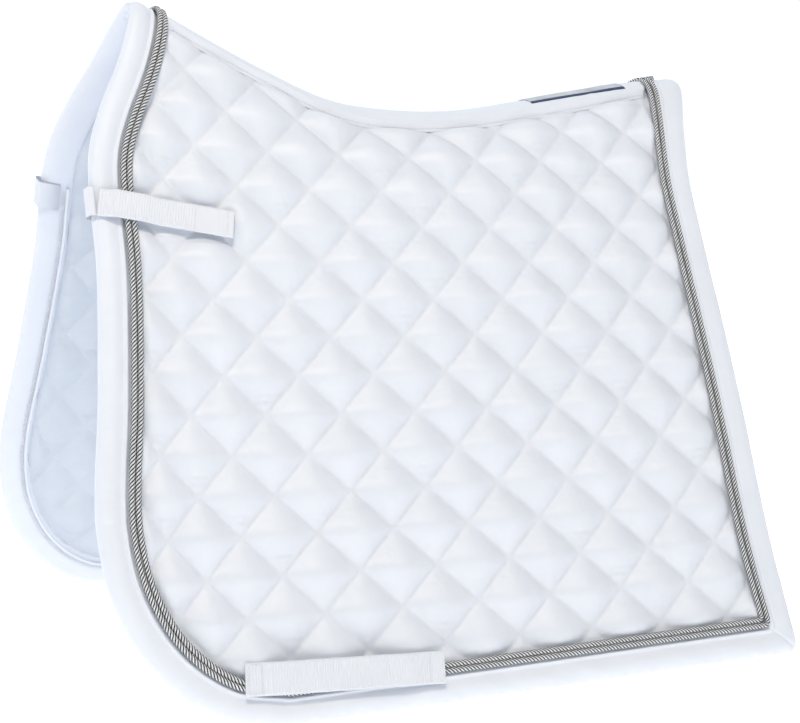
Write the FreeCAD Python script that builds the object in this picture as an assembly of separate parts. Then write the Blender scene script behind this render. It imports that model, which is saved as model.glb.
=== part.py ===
import FreeCAD, Part
import math
import os

# Saddle pad, dressage cut. Millimetres, +X to the horse's tail, +Y to its right side, +Z up.
# The origin is 8 mm below the underside of the spine, at the lowest point of its dip.
# The pad is one sheet bent over the back: a cap over the spine, and two flaps that hang from
# straight fold lines. A place on it is given by x, by how far it is down the sheet, and by
# its offset from the middle of the sheet, outwards positive.

Vector = FreeCAD.Vector

# ---- Driving dimensions -------------------------------------------------------------------
# Topline of the spine: height of the middle of the sheet at stations along it
STATION_START, STATION_STEP = -330.0, 60.0
TOPLINE = [136.9, 103.8, 73.3, 45.3, 22.5, 15.4, 16.0, 24.5, 35.0, 44.8, 52.8, 59.5]

# Cross-section
FOLD_Y = 64.0               # fold line, out from the middle
FOLD_Z = -37.4              # fold line, height
LEAN = math.radians(24.0)   # slope of the flap from upright, at the fold line
LEAN_LOSS = math.radians(6.0)
DROP = 440.0                # length of flap over which the slope is lost
FLARE = 36.0                # how far the hem opens per 300 mm of length, towards the rear
CAP_PULL = 0.35             # how far the cap carries on straight above the fold line
RIDGE_FLAT = 25.0           # half-width of the rounded top of the cap

# Layers, as offsets from the middle of the sheet
WADDING = 4.0               # half-thickness of the wadding
SKIN = 5.2                  # outside of the cover, the lining and the border
TAPE = (5.4, 6.8)           # the spine tapes

# Outline seen from the side, x and z, from the withers tip down the front
TIP = (-262.0, 99.0)
FRONT_EDGE = [(-281.0, 54.0), (-298.0, 21.0), (-309.0, -8.0), (-313.5, -38.0), (-314.0, -95.0),
              (-322.0, -185.0)]
FRONT_FOLD = 3              # the knot of the front edge that lies on the fold line
CORNER_CENTRE = (-202.0, -281.0)
CORNER_RADII = (130.0, 147.5)
REAR_CORNER = (247.5, -421.0)
REAR_EDGE = [(242.0, -330.0), (242.7, -210.0), (243.0, -100.0), (244.5, -38.0), (248.0, -10.0),
             (256.0, 22.0)]
REAR_FOLD = 3               # the knot of the rear edge that lies on the fold line
REAR_TIP = (272.0, 55.0)
HEM_TURN = 9.0              # roundness of the rear corner
SEAM_TURN = 4.0
HEIGHT_SHARE = 0.94         # height seen from the side, against length down the sheet
BORDER = 27.0               # edge of the pad to the seam under the trim cords
REAR_WIDER = 1.2            # the border at the rear edge is this much wider
BORDER_SKIN = 1.2           # satin round the foam of the border
FRONT_JOIN_Z = -260.0       # bias join between front and bottom border
SEAM_GAP = 0.1

# Trim
CORD_RADIUS = 2.25
CORD_PITCH = 4.6            # between the two trim cords
CORD_OFFSET = 7.9
CORD_END = 0.7              # ends of the cords from the middle of the spine
CORD_STEP = 4.0             # spacing of the points of their route near the spine
CAP_RUN = 12.0              # longest straight run of a cord on the cap, and on the flap
FLAP_RUN = 45.0
PIPING_RADIUS = 1.1
PIPING_INSET = 22.0
PIPING_OFFSET = -6.6
# Ridge to the lower edge of the spine tape, at the same stations
BINDING_REACH = [15.0, 15.0, 18.0, 22.0, 31.0, 34.0, 30.0, 27.0, 25.5, 21.5, 19.0, 19.0]
LINING_TAPE = 20.0          # ridge to the lower edge of the tape inside
LABEL_X = (104.0, 204.0)
LABEL_REACH = 12.0          # ridge to either long edge of the label
LABEL = (6.95, 7.75)        # offsets of its two faces

# Front straps: sewn round the front edge, closed by hook and loop at the rear end
WEBBING = 1.2
STRAP_WIDTH = 22.0
STRAP_TURN = math.radians(10.8)
STRAP_EDGE_X = -314.3       # the edge that the strap goes round
STRAP_DOWN = 14.5           # middle of the strap below the fold line, at that edge
STRAP_LENGTH = 110.0
STRAP_TUCK = 16.0           # length sewn down inside
STRAP_HINGE = 4.2           # turning line behind the edge
STRAP_PROFILE = [(0.0, 6.7), (7.0, 6.7), (18.0, 11.5), (39.0, 11.5), (51.0, 8.1)]
PATCH = 0.8
PATCH_LENGTH = 32.0

# Girth loops
LOOP_WIDTH = 25.0
LOOP_LENGTH = 157.0
LOOP_TURN = math.radians(3.0)
LOOP_X = -158.0
LOOP_DOWN = 385.0
LOOP_PROFILE = [(-0.5, 11.25), (-0.41, 11.25), (-0.33, 14.4), (0.33, 14.4), (0.41, 11.25),
                (0.5, 11.25)]

# Folding: each flap turns on a line just outside the pad, like cloth bending over its stuffing
HINGE_OFFSET = 11.3
FOLD_IN = math.radians(21.0)
FOLD_GAP = 0.6

BEND_RADIUS = DROP / LEAN_LOSS
ORIGIN = Vector(0, 0, 0)


# ---- The sheet, modelled on the far side (+Y) and mirrored for the near side -----------------
def along_spine(values, x):
    """Smooth curve through values given every STATION_STEP from STATION_START."""
    place = min(max((x - STATION_START) / STATION_STEP, 0.0), len(values) - 1.0001)
    i = int(place)
    f = place - i
    line = [2 * values[0] - values[1]] + values + [2 * values[-1] - values[-2]]
    a, b, c, d = line[i:i + 4]
    return b + f / 2 * (c - a + f * (2 * a - 5 * b + 4 * c - d + f * (3 * (b - c) + d - a)))


def topline(x):
    return along_spine(TOPLINE, x)


def cap_section(x, share):
    """Point and outward normal across the cap: share 0 at the fold line, 1 at the ridge."""
    ridge = topline(x)
    pull = CAP_PULL * math.hypot(FOLD_Y, ridge - FOLD_Z)
    poles = [(FOLD_Y, FOLD_Z),
             (FOLD_Y - pull * math.sin(LEAN), FOLD_Z + pull * math.cos(LEAN)),
             (RIDGE_FLAT, ridge),
             (0.0, ridge)]
    rest = 1 - share
    weights = [rest ** 3, 3 * share * rest ** 2, 3 * share ** 2 * rest, share ** 3]
    slopes = [-3 * rest ** 2, 3 * rest * (1 - 3 * share), 3 * share * (2 - 3 * share),
              3 * share ** 2]
    y, z = (sum(w * pole[i] for w, pole in zip(weights, poles)) for i in (0, 1))
    dy, dz = (sum(w * pole[i] for w, pole in zip(slopes, poles)) for i in (0, 1))
    length = math.hypot(dy, dz)
    return y, z, dz / length, -dy / length


def flap_section(x, down):
    """Point and outward normal of the flap, down is the length below the fold line."""
    lean = LEAN - down / BEND_RADIUS
    flare = FLARE * x / 300.0 / DROP
    y = FOLD_Y + BEND_RADIUS * (math.cos(lean) - math.cos(LEAN)) + flare * down
    z = FOLD_Z - BEND_RADIUS * (math.sin(LEAN) - math.sin(lean))
    dy = math.sin(lean) + flare
    dz = -math.cos(lean)
    length = math.hypot(dy, dz)
    return y, z, -dz / length, dy / length


def flap_start(offset):
    """The flap begins this far below the fold line, so that it can fold inwards."""
    return FOLD_GAP + (HINGE_OFFSET - offset) * math.tan(FOLD_IN)


def placed(section, x, offset):
    y, z, normal_y, normal_z = section
    return Vector(x, y + offset * normal_y, z + offset * normal_z)


def cap_point(x, share, offset):
    return placed(cap_section(x, share), x, offset)


def flap_point(x, share, offset):
    start = flap_start(offset)
    return placed(flap_section(x, start + share * (DROP - start)), x, offset)


def binding_reach(x):
    """Ridge to the lower edge of the spine binding."""
    return along_spine(BINDING_REACH, x)


def share_below_ridge(x, reach):
    """Share of the cap's section that lies the length reach below the ridge."""
    share, length = 1.0, 0.0
    last = cap_section(x, share)
    while length < reach:
        share -= 0.005
        here = cap_section(x, share)
        length += math.hypot(here[0] - last[0], here[1] - last[1])
        last = here
    return share


def below_ridge_point(low, high):
    """Strip of the cap between two lengths below the ridge, as a point function."""
    def point(x, share, offset):
        first = share_below_ridge(x, low(x)) if callable(low) else low
        last = share_below_ridge(x, high(x))
        return placed(cap_section(x, first + share * (last - first)), x, offset)
    return point


def place_seen_from_side(x, z):
    """Section of the sheet at x and z."""
    if z < FOLD_Z:
        lean = math.asin(math.sin(LEAN) - (FOLD_Z - z) / BEND_RADIUS)
        return flap_section(x, BEND_RADIUS * (LEAN - lean))
    low, high = 0.0, 1.0
    for _ in range(40):
        middle = (low + high) / 2
        if cap_section(x, middle)[1] < z:
            low = middle
        else:
            high = middle
    return cap_section(x, low)


def patch(point, x_range, columns, rows, low, high):
    """Solid between two offsets of a stretch of the sheet."""
    skins = []
    for offset in (low, high):
        grid = []
        for i in range(columns + 1):
            x = x_range[0] + (x_range[1] - x_range[0]) * i / columns
            grid.append([point(x, j / rows, offset) for j in range(rows + 1)])
        skin = Part.BSplineSurface()
        skin.interpolate(grid)
        skins.append(skin)
    faces = [skin.toShape() for skin in skins]
    u_start, u_end, v_start, v_end = skins[0].bounds()
    for u in (u_start, u_end):
        faces.append(Part.makeRuledSurface(*[skin.uIso(u).toShape() for skin in skins]))
    for v in (v_start, v_end):
        faces.append(Part.makeRuledSurface(*[skin.vIso(v).toShape() for skin in skins]))
    shell = Part.makeShell(faces)
    shell.sewShape()
    solid = Part.makeSolid(shell)
    if solid.Volume < 0:
        solid.reverse()
    return solid


def cap_layer(low, high):
    return patch(cap_point, (-330.0, 290.0), 24, 12, low, high)


def flap_layer(low, high):
    return patch(flap_point, (-345.0, 262.0), 12, 8, low, high)


# ---- The outline seen from the side -----------------------------------------------------------
def inset_line(points, distance, before_first, after_last):
    """Knots moved inwards by distance."""
    chain = [before_first] + points + [after_last]
    moved = []
    for before, here, after in zip(chain, chain[1:], chain[2:]):
        dx, dz = after[0] - before[0], after[1] - before[1]
        step = distance / math.hypot(dx, dz)
        moved.append((here[0] - dz * step, here[1] + dx * step * HEIGHT_SHARE))
    return moved


def front_line(distance):
    """Withers tip, front edge and front corner."""
    knots = [TIP] + FRONT_EDGE
    for step in range(5):
        turn = math.radians(22.5 * step)
        knots.append((CORNER_CENTRE[0] - CORNER_RADII[0] * math.cos(turn),
                      CORNER_CENTRE[1] - CORNER_RADII[1] * math.sin(turn)))
    above = (2 * TIP[0] - FRONT_EDGE[0][0], 2 * TIP[1] - FRONT_EDGE[0][1])
    return inset_line(knots, distance, above, REAR_CORNER)


def rear_line(distance):
    """Rear edge from above the corner up to the ridge."""
    distance *= REAR_WIDER
    above = (REAR_TIP[0] + 10.0, REAR_TIP[1] + 25.0)
    return inset_line(REAR_EDGE + [REAR_TIP], distance, REAR_CORNER, above)


def rear_corner(distance):
    return REAR_CORNER[0] - distance * REAR_WIDER, REAR_CORNER[1] + distance * HEIGHT_SHARE


def prism(distance, turn):
    """Everything inside the outline moved inwards by distance."""
    def at(point):
        return Vector(point[0], -5.0, point[1])

    front = front_line(distance)
    corner = rear_corner(distance)
    rear = [(corner[0], corner[1] + turn)] + rear_line(distance)
    arc = Part.Arc(at((corner[0] - turn, corner[1])),
                   at((corner[0] - turn * (1 - math.sqrt(0.5)),
                       corner[1] + turn * (1 - math.sqrt(0.5)))),
                   at(rear[0]))
    sky = [rear[-1], (rear[-1][0] + 12.0, rear[-1][1] + 30.0), (rear[-1][0], 190.0),
           (front[0][0], 190.0), front[0]]
    edges = []
    for line in (front, rear):
        curve = Part.BSplineCurve()
        curve.interpolate([at(point) for point in line])
        edges.append(curve.toShape())
    edges.insert(1, Part.makeLine(at(front[-1]), at((corner[0] - turn, corner[1]))))
    edges.insert(2, arc.toShape())
    edges += [Part.makeLine(at(a), at(b)) for a, b in zip(sky, sky[1:])]
    return Part.Face(Part.Wire(edges)).extrude(Vector(0, 320.0, 0))


def side_block(points):
    """Prism from a polygon seen from the side."""
    corners = [Vector(x, -5.0, z) for x, z in points]
    return Part.Face(Part.makePolygon(corners + corners[:1])).extrude(Vector(0, 320, 0))


# ---- Cords ------------------------------------------------------------------------------------
def rope(points, radius):
    """Tube along straight runs joined by tangent arcs."""
    edges = []
    last = points[0]
    for before, here, after in zip(points, points[1:], points[2:]):
        into = (here - before).normalize()
        out = (after - here).normalize()
        cut = 0.45 * min((here - before).Length, (after - here).Length)
        half_turn = into.getAngle(out) / 2
        bend_radius = cut / math.tan(half_turn)
        sagitta = bend_radius * (1 / math.cos(half_turn) - 1)
        middle = here + (out - into).normalize() * sagitta
        edges.append(Part.makeLine(last, here - into * cut))
        edges.append(Part.Arc(here - into * cut, middle, here + out * cut).toShape())
        last = here + out * cut
    edges.append(Part.makeLine(last, points[-1]))
    path = Part.Wire(edges)
    ring = Part.Wire(Part.makeCircle(radius, points[0], points[1] - points[0]))
    tube = path.makePipeShell([ring], True, False)
    print("cord", round(tube.Volume / (math.pi * radius ** 2 * path.Length), 4))
    return tube


def on_sheet(points, offset, longest):
    """Points of the sheet, with more between them where it bends."""
    places = points[:1]
    for (x, z), (next_x, next_z) in zip(points, points[1:]):
        pieces = math.ceil(abs(next_z - z) / longest)
        for i in range(1, pieces + 1):
            places.append((x + (next_x - x) * i / pieces, z + (next_z - z) * i / pieces))
    return [placed(place_seen_from_side(x, z), x, offset) for x, z in places]


def flap_route(distance, start_down):
    """From the fold line down the front edge, along the hem and up the rear edge."""
    front, rear = front_line(distance), rear_line(distance)
    start_z = FOLD_Z - start_down * math.cos(LEAN)
    x, z = rear_corner(distance)
    route = [(front[FRONT_FOLD + 1][0], start_z)] + front[FRONT_FOLD + 2:]
    route += [(x - 5.0, z + 0.2), (x, z + 5.0)] + rear[:REAR_FOLD]
    return route + [(rear[REAR_FOLD][0], start_z)]


def along_line(line, height):
    """Place along x where the line reaches a height."""
    for (x, z), (next_x, next_z) in zip(line, line[1:]):
        if next_z >= height:
            break
    return x + (next_x - x) * (height - z) / (next_z - z)


def cap_route(line):
    """From just above the fold line, where line starts, up to the middle of the spine."""
    places = []
    x = line[-1][0]
    for step in range(12):
        for _ in range(4):
            height = cap_section(x, share_below_ridge(x, CORD_END + CORD_STEP * step))[1]
            x = along_line(line, height)
        places.append((x, height))
    between = [point for point in line[1:-1] if point[1] < height - 8.0]
    return [(line[0][0], FOLD_Z + 0.5)] + between + places[::-1]


# ---- Webbing ----------------------------------------------------------------------------------
def local_frame(x, down, turn=0.0):
    """Origin on the flap, and axes along the webbing, across it and outwards."""
    y, z, normal_y, normal_z = flap_section(x, down)
    ahead = flap_section(x + 1.0, down)
    along = Vector(1.0, ahead[0] - y, ahead[1] - z).normalize()
    below = flap_section(x, down + 1.0)
    across = Vector(0, below[0] - y, below[1] - z).normalize()
    out = along.cross(across).normalize()
    along, across = (along * math.cos(turn) + across * math.sin(turn),
                     across * math.cos(turn) - along * math.sin(turn))
    return Vector(x, y, z), along, across, out


def ribbon(frame, profile, width, thickness):
    """Flat webbing: a profile of length and height of its lower face, swept across its width."""
    origin, along, across, out = frame
    lower = [origin + along * a + out * h for a, h in profile]
    upper = [point + out * thickness for point in lower]
    ring = lower + upper[::-1]
    face = Part.Face(Part.makePolygon([p - across * (width / 2) for p in ring + ring[:1]]))
    return face.extrude(across * width)


# ---- Sub-parts -------------------------------------------------------------------------------
def cap_nodes():
    """Pieces of the cap on one side; they ride on the spine."""
    whole, filling = prism(0.0, HEM_TURN), prism(BORDER_SKIN, HEM_TURN)
    quilted = prism(BORDER, SEAM_TURN)
    front = side_block([(-400.0, FOLD_Z - 9.0), (-100.0, FOLD_Z - 9.0), (-100.0, 190.0),
                        (-400.0, 190.0)])
    wadding = cap_layer(-WADDING, WADDING).common(filling)
    border = cap_layer(-SKIN, SKIN).common(whole).cut(prism(BORDER - SEAM_GAP, SEAM_TURN))
    border = border.cut(wadding)
    tape_width = below_ridge_point(1.0, binding_reach)
    lining_width = below_ridge_point(1.0, lambda x: LINING_TAPE)
    label_place = below_ridge_point(1.0, lambda x: LABEL_REACH)
    between_cords = prism(BORDER + CORD_PITCH / 2 + CORD_RADIUS + 1.0, SEAM_TURN)
    nodes = {
        "ridge_cover": cap_layer(WADDING, SKIN).common(quilted),
        "ridge_wadding": wadding,
        "ridge_lining": cap_layer(-SKIN, -WADDING).common(quilted),
        "withers_border": border.common(front),
        "croup_border": border.cut(front),
        "spine_binding": patch(tape_width, (-330.0, 290.0), 24, 12, *TAPE).common(between_cords),
        "spine_lining_tape": patch(lining_width, (-330.0, 290.0), 24, 12,
                                   -TAPE[1], -TAPE[0]).common(whole),
        "spine_label": patch(label_place, LABEL_X, 6, 4, *LABEL),
    }
    for name, step in (("outer", -CORD_PITCH / 2), ("inner", CORD_PITCH / 2)):
        inset = BORDER + step
        ends = {"withers": front_line(inset)[FRONT_FOLD + 1::-1],
                "croup": rear_line(inset)[REAR_FOLD:]}
        for place, line in ends.items():
            route = on_sheet(cap_route(line), CORD_OFFSET, CAP_RUN)
            nodes[place + "_cord_" + name] = rope(route, CORD_RADIUS)
    return nodes


def flap_nodes():
    """Pieces of one flap."""
    whole, filling = prism(0.0, HEM_TURN), prism(BORDER_SKIN, HEM_TURN)
    quilted = prism(BORDER, SEAM_TURN)
    outside_seam = prism(BORDER - SEAM_GAP, SEAM_TURN)
    shell = flap_layer(-SKIN, SKIN).common(whole).cut(outside_seam)
    foam = flap_layer(-WADDING, WADDING).common(filling).cut(outside_seam)
    shell = shell.cut(foam)
    join = side_block([(-400.0, FRONT_JOIN_Z + 58.0), (-232.0, FRONT_JOIN_Z - 82.0),
                       (-232.0, 0.0), (-400.0, 0.0)])
    corner = REAR_CORNER
    mitre = side_block([(corner[0] + 60.0 * REAR_WIDER, corner[1] - 60.0 * HEIGHT_SHARE),
                        (corner[0] + 60.0 * REAR_WIDER, 0.0), (0.0, 0.0),
                        (corner[0] - 100.0 * REAR_WIDER, corner[1] + 100.0 * HEIGHT_SHARE)])
    front_half = side_block([(-400.0, -500.0), (-100.0, -500.0), (-100.0, 0.0), (-400.0, 0.0)])
    nodes = {
        "flap_cover": flap_layer(WADDING, SKIN).common(quilted),
        "flap_wadding": flap_layer(-WADDING, WADDING).common(quilted),
        "flap_lining": flap_layer(-SKIN, -WADDING).common(quilted),
        "front_border": shell.common(front_half).common(join),
        "bottom_border": shell.cut(join.common(front_half)).cut(mitre),
        "rear_border": shell.cut(front_half).common(mitre),
        "border_foam": foam,
        "hem_piping": rope(on_sheet(flap_route(PIPING_INSET, 9.0), PIPING_OFFSET, FLAP_RUN),
                           PIPING_RADIUS),
    }
    for name, step in (("outer", -CORD_PITCH / 2), ("inner", CORD_PITCH / 2)):
        route = on_sheet(flap_route(BORDER + step, 3.2), CORD_OFFSET, FLAP_RUN)
        nodes["trim_cord_" + name] = rope(route, CORD_RADIUS)
    loop_frame = local_frame(LOOP_X, LOOP_DOWN, LOOP_TURN)
    profile = [(share * LOOP_LENGTH, height) for share, height in LOOP_PROFILE]
    nodes["girth_loop"] = ribbon(loop_frame, profile, LOOP_WIDTH, WEBBING)
    return nodes


def strap_nodes():
    """Front strap of one flap, with what holds it and what it closes on."""
    square = local_frame(STRAP_EDGE_X, STRAP_DOWN)
    turned = local_frame(STRAP_EDGE_X, STRAP_DOWN, STRAP_TURN)
    edge, along, across, out = square
    slot = STRAP_WIDTH / math.cos(STRAP_TURN)
    end = STRAP_HINGE - 1.6
    low, high = SKIN + 0.4, SKIN + 0.4 + WEBBING
    ring = [(end, low), (-0.4, low), (-0.4, -low), (STRAP_TUCK, -low), (STRAP_TUCK, -high),
            (-0.4 - WEBBING, -high), (-0.4 - WEBBING, high), (end, high)]
    corners = [edge + turned[1] * a + out * h - across * (slot / 2) for a, h in ring]
    anchor = Part.Face(Part.makePolygon(corners + corners[:1])).extrude(across * slot)
    profile = STRAP_PROFILE + [(STRAP_LENGTH, STRAP_PROFILE[-1][1])]
    webbing = ribbon(turned, profile, STRAP_WIDTH, WEBBING)
    free_end = STRAP_HINGE + 0.5
    corners = [edge + along * a - across * 40.0 + out * h
               for a, h in ((-20.0, 0.0), (free_end, 0.0), (free_end, 20.0), (-20.0, 20.0))]
    webbing = webbing.cut(Part.Face(Part.makePolygon(corners + corners[:1])).extrude(across * 80.0))
    patches = {}
    for name, height in (("strap_loop_patch", SKIN + 0.65),
                         ("strap_hook_patch", STRAP_PROFILE[-1][1] - PATCH - 0.05)):
        run = [(STRAP_LENGTH - 2.0 - PATCH_LENGTH, height), (STRAP_LENGTH - 2.0, height)]
        patches[name] = ribbon(turned, run, STRAP_WIDTH - 4.0, PATCH)
    hinge = edge + along * STRAP_HINGE + out * (STRAP_PROFILE[0][1] + WEBBING / 2)
    print("strap hinge", [round(v, 2) for v in hinge], [round(v, 4) for v in across])
    return {"strap_anchor": anchor, "strap_webbing": webbing, **patches}


def mirrored(shape):
    return shape.mirror(ORIGIN, Vector(0, 1, 0))


os.makedirs("parts", exist_ok=True)
shapes = {}
for name, shape in {**cap_nodes(), **flap_nodes(), **strap_nodes()}.items():
    if name in ("spine_binding", "spine_lining_tape", "spine_label"):
        shapes[name] = shape.fuse(mirrored(shape)).removeSplitter()
    else:
        shapes["far_" + name] = shape
        shapes["near_" + name] = mirrored(shape)
for name, shape in shapes.items():
    if len(shape.Solids) != 1:
        print("solids", name, len(shape.Solids))
    if not shape.isValid():
        print("not valid", name)
    shape.exportStep("parts/" + name + ".step")
print(len(shapes), "sub-parts")
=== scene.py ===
import math
import bmesh
import bpy
import numpy as np
from mathutils import Matrix, Vector


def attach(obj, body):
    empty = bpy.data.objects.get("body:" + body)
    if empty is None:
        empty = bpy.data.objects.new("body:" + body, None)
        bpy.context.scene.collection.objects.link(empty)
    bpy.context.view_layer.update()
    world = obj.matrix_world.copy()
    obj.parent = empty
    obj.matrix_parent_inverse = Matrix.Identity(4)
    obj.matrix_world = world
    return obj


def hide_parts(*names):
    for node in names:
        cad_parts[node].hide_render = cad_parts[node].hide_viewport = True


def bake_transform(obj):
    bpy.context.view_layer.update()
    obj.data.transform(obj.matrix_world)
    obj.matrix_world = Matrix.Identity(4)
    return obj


# Quilted dressage saddle pad: white satin over wadding, padded border, twisted metallic trim
# cords, ribbed webbing. Lengths in the dimensions below are millimetres, and M turns them into
# metres. Side is -1 for the near flap (-Y) and 1 for the far one.

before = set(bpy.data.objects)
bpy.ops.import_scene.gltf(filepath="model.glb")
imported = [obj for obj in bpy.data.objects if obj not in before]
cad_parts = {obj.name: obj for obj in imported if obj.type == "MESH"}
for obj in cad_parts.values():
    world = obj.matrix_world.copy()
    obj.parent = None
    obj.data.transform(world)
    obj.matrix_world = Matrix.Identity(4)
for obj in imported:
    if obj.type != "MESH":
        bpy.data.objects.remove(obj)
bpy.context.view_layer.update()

M = 0.001
SIDES = (("near", -1), ("far", 1))
RANDOM = np.random.RandomState(11)

# ---- The sheet, as in the CAD model ----
STATION_START, STATION_STEP = -330.0, 60.0
TOPLINE = [136.9, 103.8, 73.3, 45.3, 22.5, 15.4, 16.0, 24.5, 35.0, 44.8, 52.8, 59.5]
BINDING_REACH = [15.0, 15.0, 18.0, 22.0, 31.0, 34.0, 30.0, 27.0, 25.5, 21.5, 19.0, 19.0]
FOLD_Y, FOLD_Z = 64.0, -37.4
LEAN, LEAN_LOSS, DROP, FLARE = math.radians(24.0), math.radians(6.0), 440.0, 36.0
CAP_PULL, RIDGE_FLAT = 0.35, 25.0
BEND_RADIUS = DROP / LEAN_LOSS

# ---- The outline seen from the side ----
TIP, REAR_TIP = (-262.0, 99.0), (272.0, 55.0)
FRONT_EDGE = [(-281.0, 54.0), (-298.0, 21.0), (-309.0, -8.0), (-313.5, -38.0), (-314.0, -95.0),
              (-322.0, -185.0)]
CORNER_CENTRE, CORNER_RADII = (-202.0, -281.0), (130.0, 147.5)
REAR_CORNER = (247.5, -421.0)
REAR_EDGE = [(242.0, -330.0), (242.7, -210.0), (243.0, -100.0), (244.5, -38.0), (248.0, -10.0),
             (256.0, 22.0)]
HEIGHT_SHARE = 0.94
BORDER, REAR_WIDER = 27.0, 1.2
HEM_TURN, SEAM_TURN = 9.0, 4.0

# ---- Quilting ----
QUILT_X, QUILT_DOWN = -263.6, 63.4      # one crossing of the stitch lines
HALF_WIDE, HALF_TALL = 32.0, 30.4       # half the diagonals of a diamond
FRONT_EASE_X, FRONT_EASE_DOWN, EASE_LENGTH = 22.1, 20.3, 60.0
CELL = 22                               # mesh squares along one side of a diamond
TILE = 4                                # simulated diamonds along one side of the sample
SEAM_OFFSET = 1.0                       # outside of the pad at a stitch line
CROWN = 8.8                             # height of a pillow above its seams
LINING_CROWN = 4.6
SIM_FRAMES = 34
SIMULATED_SHARE = 0.35                  # of the pillows' height; a formula makes the rest


# ---- Geometry of the sheet ----
def along_spine(values, x):
    """Smooth curve through values at stations along the spine."""
    place = np.clip((np.asarray(x, float) - STATION_START) / STATION_STEP, 0, len(values) - 1.0001)
    i = place.astype(int)
    f = place - i
    line = np.array([2 * values[0] - values[1], *values, 2 * values[-1] - values[-2]])
    a, b, c, d = (line[i + k] for k in range(4))
    return b + f / 2 * (c - a + f * (2 * a - 5 * b + 4 * c - d + f * (3 * (b - c) + d - a)))


def topline(x):
    return along_spine(TOPLINE, x)


def cap_section(x, share):
    """y, z and the section's outward normal, share 0 at the fold line and 1 at the ridge."""
    ridge = topline(x)
    pull = CAP_PULL * np.hypot(FOLD_Y, ridge - FOLD_Z)
    ys = (FOLD_Y, FOLD_Y - pull * math.sin(LEAN), RIDGE_FLAT, 0.0)
    zs = (FOLD_Z, FOLD_Z + pull * math.cos(LEAN), ridge, ridge)
    rest = 1 - share
    weights = (rest ** 3, 3 * share * rest ** 2, 3 * share ** 2 * rest, share ** 3)
    slopes = (-3 * rest ** 2, 3 * rest * (1 - 3 * share), 3 * share * (2 - 3 * share),
              3 * share ** 2)
    y = sum(w * v for w, v in zip(weights, ys))
    z = sum(w * v for w, v in zip(weights, zs))
    dy = sum(w * v for w, v in zip(slopes, ys))
    dz = sum(w * v for w, v in zip(slopes, zs))
    length = np.hypot(dy, dz)
    return y, z, dz / length, -dy / length


def flap_section(x, down):
    lean = LEAN - down / BEND_RADIUS
    flare = FLARE * x / 300.0 / DROP
    y = FOLD_Y + BEND_RADIUS * (np.cos(lean) - math.cos(LEAN)) + flare * down
    z = FOLD_Z - BEND_RADIUS * (math.sin(LEAN) - np.sin(lean))
    dy = np.sin(lean) + flare
    dz = -np.cos(lean)
    length = np.hypot(dy, dz)
    return y, z, -dz / length, dy / length


def inverse_rows(lengths, parts, shares):
    return np.array([np.interp(parts * row[-1], row, shares) for row in lengths])


class CapTable:
    """Lengths up the cap from the fold line, worked out once on a grid of x and share."""
    xs = np.linspace(-340.0, 300.0, 129)
    shares = np.linspace(0.0, 1.0, 201)
    y, z = cap_section(xs[:, None], shares[None, :])[:2]
    steps = np.hypot(np.diff(y, axis=1), np.diff(z, axis=1))
    lengths = np.concatenate([np.zeros((len(xs), 1)), np.cumsum(steps, axis=1)], axis=1)
    total = lengths[:, -1]
    parts = np.linspace(0.0, 1.0, 101)
    inverse = inverse_rows(lengths, parts, shares)


def ridge_length(x):
    """Length of the cap from the fold line up to the ridge."""
    return np.interp(x, CapTable.xs, CapTable.total)


def cap_share(x, up):
    """Share of the cap's section at the length up from the fold line."""
    part = np.clip(up / ridge_length(x), 0.0, 1.0) * (len(CapTable.parts) - 1)
    column = (x - CapTable.xs[0]) / (CapTable.xs[1] - CapTable.xs[0])
    column = np.clip(column, 0, len(CapTable.xs) - 1.001)
    i, j = column.astype(int), np.minimum(part.astype(int), len(CapTable.parts) - 2)
    a, b = column - i, part - j
    t = CapTable.inverse
    return ((1 - a) * (1 - b) * t[i, j] + a * (1 - b) * t[i + 1, j]
            + (1 - a) * b * t[i, j + 1] + a * b * t[i + 1, j + 1])


def binding_reach(x):
    """Ridge to the lower edge of the spine tape."""
    return along_spine(BINDING_REACH, x)


def sheet_points(side, x, down, offset):
    """Points in metres. down is negative on the cap."""
    x, down, offset = np.broadcast_arrays(*(np.asarray(a, float) for a in (x, down, offset)))
    flap = flap_section(x, np.maximum(down, 0.0))
    cap = cap_section(x, cap_share(x, np.maximum(-down, 0.0)))
    y, z, normal_y, normal_z = (np.where(down >= 0, f, c) for f, c in zip(flap, cap))
    return np.stack([x, side * (y + offset * normal_y), z + offset * normal_z], axis=-1) * M


def down_at_height(x, z):
    """Place down the sheet of points seen from the side."""
    lean = np.arcsin(np.clip(math.sin(LEAN) - (FOLD_Z - z) / BEND_RADIUS, -1, 1))
    down = BEND_RADIUS * (LEAN - lean)
    shares = np.linspace(0.0, 1.0, 201)
    for i in np.flatnonzero(z >= FOLD_Z):
        y_row, z_row = cap_section(x[i], shares)[:2]
        steps = np.concatenate([[0.0], np.cumsum(np.hypot(np.diff(y_row), np.diff(z_row)))])
        down[i] = -np.interp(z[i], z_row, steps)
    return down


# ---- Outline ----
RING = 3.2                              # spacing of points along the outline


def inset_line(points, distance, before_first, after_last):
    chain = [before_first] + points + [after_last]
    moved = []
    for before, here, after in zip(chain, chain[1:], chain[2:]):
        dx, dz = after[0] - before[0], after[1] - before[1]
        step = distance / math.hypot(dx, dz)
        moved.append((here[0] - dz * step, here[1] + dx * step * HEIGHT_SHARE))
    return moved


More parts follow.
